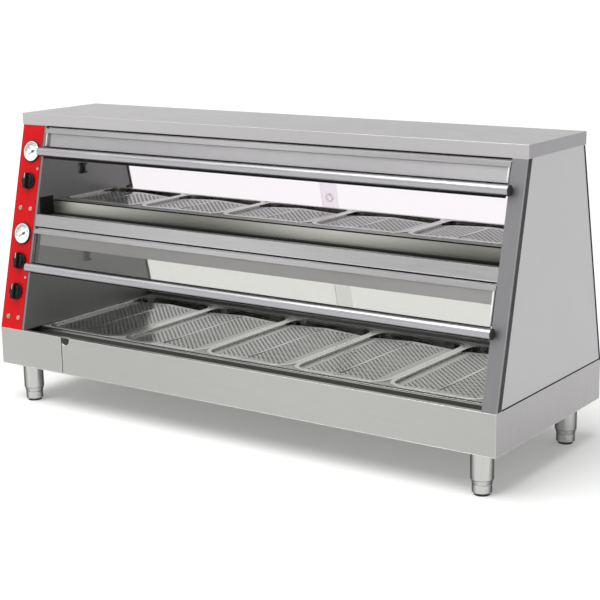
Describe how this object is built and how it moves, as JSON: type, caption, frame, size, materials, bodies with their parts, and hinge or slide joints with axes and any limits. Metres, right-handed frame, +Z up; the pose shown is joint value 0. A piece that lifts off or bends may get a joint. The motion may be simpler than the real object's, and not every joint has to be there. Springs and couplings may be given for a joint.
{
  "type": "heated display cabinet",
  "caption": "Two-tier heated food display cabinet on legs, with lift-out pans, hinged front glass flaps, sliding rear glass doors and a side control panel.",
  "frame": {"origin": "on the floor under the middle of the cabinet's bounding box", "axes": "+X to the right as seen from the front, +Y to the rear, +Z up"},
  "size_m": [1.52, 0.54, 0.77],
  "materials": {
    "steel_sheet": "satin brushed stainless sheet",
    "panel_paint": "gloss red",
    "element_steel": "heat-tinted tube",
    "track_aluminium": "satin anodised",
    "gauge_plastic": "white",
    "clear_glass": "clear toughened glass",
    "black_plastic": "black",
    "lamp_plastic": "tinted lens",
    "tube_steel": "polished tube",
    "pan_steel": "satin",
    "insert_steel": "satin perforated"
  },
  "bodies": {
    "cabinet": {"base_shell": "steel_sheet", "base_floor": "steel_sheet", "service_cover": "steel_sheet", "lower_deck": "steel_sheet", "upper_deck": "steel_sheet", "mid_front_rail": "steel_sheet", "column_left": "steel_sheet", "column_right": "steel_sheet", "side_panel_left": "steel_sheet", "side_panel_right": "steel_sheet", "control_panel": "panel_paint", "roof_cover": "steel_sheet", "upper_heater_housing": "steel_sheet", "lower_heater_housing": "steel_sheet", "heating_elements": "element_steel", "door_tracks": "track_aluminium", "gauge_cases": "gauge_plastic", "gauge_lenses": "clear_glass", "thermostats": "black_plastic", "pilot_lamps": "lamp_plastic", "probe_clips": "black_plastic", "fasteners": "steel_sheet", "cable_gland": "black_plastic", "leg_tubes": "steel_sheet", "levelling_feet": "black_plastic"},
    "upper_flap": {"upper_flap_glass": "clear_glass", "upper_flap_handle": "tube_steel", "upper_flap_hinge": "tube_steel"},
    "lower_flap": {"lower_flap_glass": "clear_glass", "lower_flap_handle": "tube_steel", "lower_flap_hinge": "tube_steel"},
    "upper_left_door": {"upper_door_left": "clear_glass"},
    "upper_right_door": {"upper_door_right": "clear_glass"},
    "lower_left_door": {"lower_door_left": "clear_glass"},
    "lower_right_door": {"lower_door_right": "clear_glass"},
    "upper_pan_1_body": {"upper_pan_1": "pan_steel"},
    "upper_insert_1_body": {"upper_insert_1": "insert_steel"},
    "upper_pan_2_body": {"upper_pan_2": "pan_steel"},
    "upper_insert_2_body": {"upper_insert_2": "insert_steel"},
    "upper_pan_3_body": {"upper_pan_3": "pan_steel"},
    "upper_insert_3_body": {"upper_insert_3": "insert_steel"},
    "upper_pan_4_body": {"upper_pan_4": "pan_steel"},
    "upper_insert_4_body": {"upper_insert_4": "insert_steel"},
    "upper_pan_5_body": {"upper_pan_5": "pan_steel"},
    "upper_insert_5_body": {"upper_insert_5": "insert_steel"},
    "lower_pan_1_body": {"lower_pan_1": "pan_steel"},
    "lower_insert_1_body": {"lower_insert_1": "insert_steel"},
    "lower_pan_2_body": {"lower_pan_2": "pan_steel"},
    "lower_insert_2_body": {"lower_insert_2": "insert_steel"},
    "lower_pan_3_body": {"lower_pan_3": "pan_steel"},
    "lower_insert_3_body": {"lower_insert_3": "insert_steel"},
    "lower_pan_4_body": {"lower_pan_4": "pan_steel"},
    "lower_insert_4_body": {"lower_insert_4": "insert_steel"},
    "lower_pan_5_body": {"lower_pan_5": "pan_steel"},
    "lower_insert_5_body": {"lower_insert_5": "insert_steel"},
    "upper_knob_body": {"upper_knob": "black_plastic"},
    "middle_knob_body": {"middle_knob": "black_plastic"},
    "lower_knob_body": {"lower_knob": "black_plastic"},
    "upper_needle_body": {"upper_needle": "black_plastic"},
    "lower_needle_body": {"lower_needle": "black_plastic"}
  },
  "joints": [
    {"name": "upper_flap_hinge_turn", "type": "hinge", "parent": "cabinet", "child": "upper_flap", "pos_m": [0, -0.13829, 0.72884], "axis": [-1, 0, 0], "range_deg": [0, 75]},
    {"name": "lower_flap_hinge_turn", "type": "hinge", "parent": "cabinet", "child": "lower_flap", "pos_m": [0, -0.20123, 0.46585], "axis": [-1, 0, 0], "range_deg": [0, 75]},
    {"name": "upper_left_door_slide", "type": "slide", "parent": "cabinet", "child": "upper_left_door", "axis": [1, 0, 0], "range_m": [0, 0.672]},
    {"name": "upper_right_door_slide", "type": "slide", "parent": "cabinet", "child": "upper_right_door", "axis": [-1, 0, 0], "range_m": [0, 0.672]},
    {"name": "lower_left_door_slide", "type": "slide", "parent": "cabinet", "child": "lower_left_door", "axis": [1, 0, 0], "range_m": [0, 0.672]},
    {"name": "lower_right_door_slide", "type": "slide", "parent": "cabinet", "child": "lower_right_door", "axis": [-1, 0, 0], "range_m": [0, 0.672]},
    {"name": "upper_pan_1_lift", "type": "slide", "parent": "cabinet", "child": "upper_pan_1_body", "axis": [0, 0, 1], "range_m": [0, 0.05]},
    {"name": "upper_insert_1_lift", "type": "slide", "parent": "upper_pan_1_body", "child": "upper_insert_1_body", "axis": [0, 0, 1], "range_m": [0, 0.05]},
    {"name": "upper_pan_2_lift", "type": "slide", "parent": "cabinet", "child": "upper_pan_2_body", "axis": [0, 0, 1], "range_m": [0, 0.05]},
    {"name": "upper_insert_2_lift", "type": "slide", "parent": "upper_pan_2_body", "child": "upper_insert_2_body", "axis": [0, 0, 1], "range_m": [0, 0.05]},
    {"name": "upper_pan_3_lift", "type": "slide", "parent": "cabinet", "child": "upper_pan_3_body", "axis": [0, 0, 1], "range_m": [0, 0.05]},
    {"name": "upper_insert_3_lift", "type": "slide", "parent": "upper_pan_3_body", "child": "upper_insert_3_body", "axis": [0, 0, 1], "range_m": [0, 0.05]},
    {"name": "upper_pan_4_lift", "type": "slide", "parent": "cabinet", "child": "upper_pan_4_body", "axis": [0, 0, 1], "range_m": [0, 0.05]},
    {"name": "upper_insert_4_lift", "type": "slide", "parent": "upper_pan_4_body", "child": "upper_insert_4_body", "axis": [0, 0, 1], "range_m": [0, 0.05]},
    {"name": "upper_pan_5_lift", "type": "slide", "parent": "cabinet", "child": "upper_pan_5_body", "axis": [0, 0, 1], "range_m": [0, 0.05]},
    {"name": "upper_insert_5_lift", "type": "slide", "parent": "upper_pan_5_body", "child": "upper_insert_5_body", "axis": [0, 0, 1], "range_m": [0, 0.05]},
    {"name": "lower_pan_1_lift", "type": "slide", "parent": "cabinet", "child": "lower_pan_1_body", "axis": [0, 0, 1], "range_m": [0, 0.05]},
    {"name": "lower_insert_1_lift", "type": "slide", "parent": "lower_pan_1_body", "child": "lower_insert_1_body", "axis": [0, 0, 1], "range_m": [0, 0.05]},
    {"name": "lower_pan_2_lift", "type": "slide", "parent": "cabinet", "child": "lower_pan_2_body", "axis": [0, 0, 1], "range_m": [0, 0.05]},
    {"name": "lower_insert_2_lift", "type": "slide", "parent": "lower_pan_2_body", "child": "lower_insert_2_body", "axis": [0, 0, 1], "range_m": [0, 0.05]},
    {"name": "lower_pan_3_lift", "type": "slide", "parent": "cabinet", "child": "lower_pan_3_body", "axis": [0, 0, 1], "range_m": [0, 0.05]},
    {"name": "lower_insert_3_lift", "type": "slide", "parent": "lower_pan_3_body", "child": "lower_insert_3_body", "axis": [0, 0, 1], "range_m": [0, 0.05]},
    {"name": "lower_pan_4_lift", "type": "slide", "parent": "cabinet", "child": "lower_pan_4_body", "axis": [0, 0, 1], "range_m": [0, 0.05]},
    {"name": "lower_insert_4_lift", "type": "slide", "parent": "lower_pan_4_body", "child": "lower_insert_4_body", "axis": [0, 0, 1], "range_m": [0, 0.05]},
    {"name": "lower_pan_5_lift", "type": "slide", "parent": "cabinet", "child": "lower_pan_5_body", "axis": [0, 0, 1], "range_m": [0, 0.05]},
    {"name": "lower_insert_5_lift", "type": "slide", "parent": "lower_pan_5_body", "child": "lower_insert_5_body", "axis": [0, 0, 1], "range_m": [0, 0.05]},
    {"name": "upper_knob_turn", "type": "hinge", "parent": "cabinet", "child": "upper_knob_body", "pos_m": [-0.715, -0.17618, 0.59201], "axis": [0, 0.9725, -0.2328], "range_deg": [0, 270]},
    {"name": "middle_knob_turn", "type": "hinge", "parent": "cabinet", "child": "middle_knob_body", "pos_m": [-0.715, -0.22668, 0.381], "axis": [0, 0.9725, -0.2328], "range_deg": [0, 270]},
    {"name": "lower_knob_turn", "type": "hinge", "parent": "cabinet", "child": "lower_knob_body", "pos_m": [-0.715, -0.24607, 0.29999], "axis": [0, 0.9725, -0.2328], "range_deg": [0, 270]},
    {"name": "upper_needle_turn", "type": "hinge", "parent": "cabinet", "child": "upper_needle_body", "pos_m": [-0.715, -0.15751, 0.67001], "axis": [0, 0.9725, -0.2328], "range_deg": [0, 240]},
    {"name": "lower_needle_turn", "type": "hinge", "parent": "cabinet", "child": "lower_needle_body", "pos_m": [-0.715, -0.20945, 0.45301], "axis": [0, 0.9725, -0.2328], "range_deg": [0, 240]}
  ]
}
